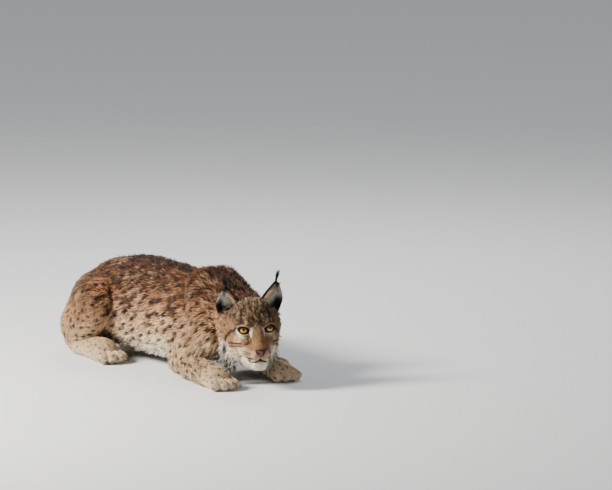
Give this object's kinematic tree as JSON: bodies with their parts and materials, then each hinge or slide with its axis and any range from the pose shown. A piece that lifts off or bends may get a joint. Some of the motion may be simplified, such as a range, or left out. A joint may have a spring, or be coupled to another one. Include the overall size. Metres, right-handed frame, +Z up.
{
  "type": "eurasian lynx figure",
  "caption": "Life-size Eurasian lynx crouched low in a stalking pose, head turned to its right, with tufted ears, a cheek ruff and a short tail.",
  "frame": {"origin": "bottom centre of the bounding box, on the floor that the feet rest on", "axes": "+X towards the head along the body, +Y to the animal's left, +Z up"},
  "size_m": [0.9286, 0.3617, 0.3048],
  "materials": {
    "coat": "dense spotted fur",
    "ear_fur": "short fur with a black tuft",
    "eye": "wet gloss, amber iris",
    "nose_leather": "fine pebbled skin"
  },
  "bodies": {
    "root": {"ear_left": "ear_fur", "ear_right": "ear_fur", "eye_left": "eye", "eye_right": "eye", "forearm_left": "coat", "forearm_right": "coat", "forepaw_left": "coat", "forepaw_right": "coat", "head": "coat", "hindpaw_left": "coat", "hindpaw_right": "coat", "neck": "coat", "nose": "nose_leather", "shank_left": "coat", "shank_right": "coat", "tail": "coat", "thigh_left": "coat", "thigh_right": "coat", "torso": "coat", "upper_arm_left": "coat", "upper_arm_right": "coat"}
  },
  "joints": []
}
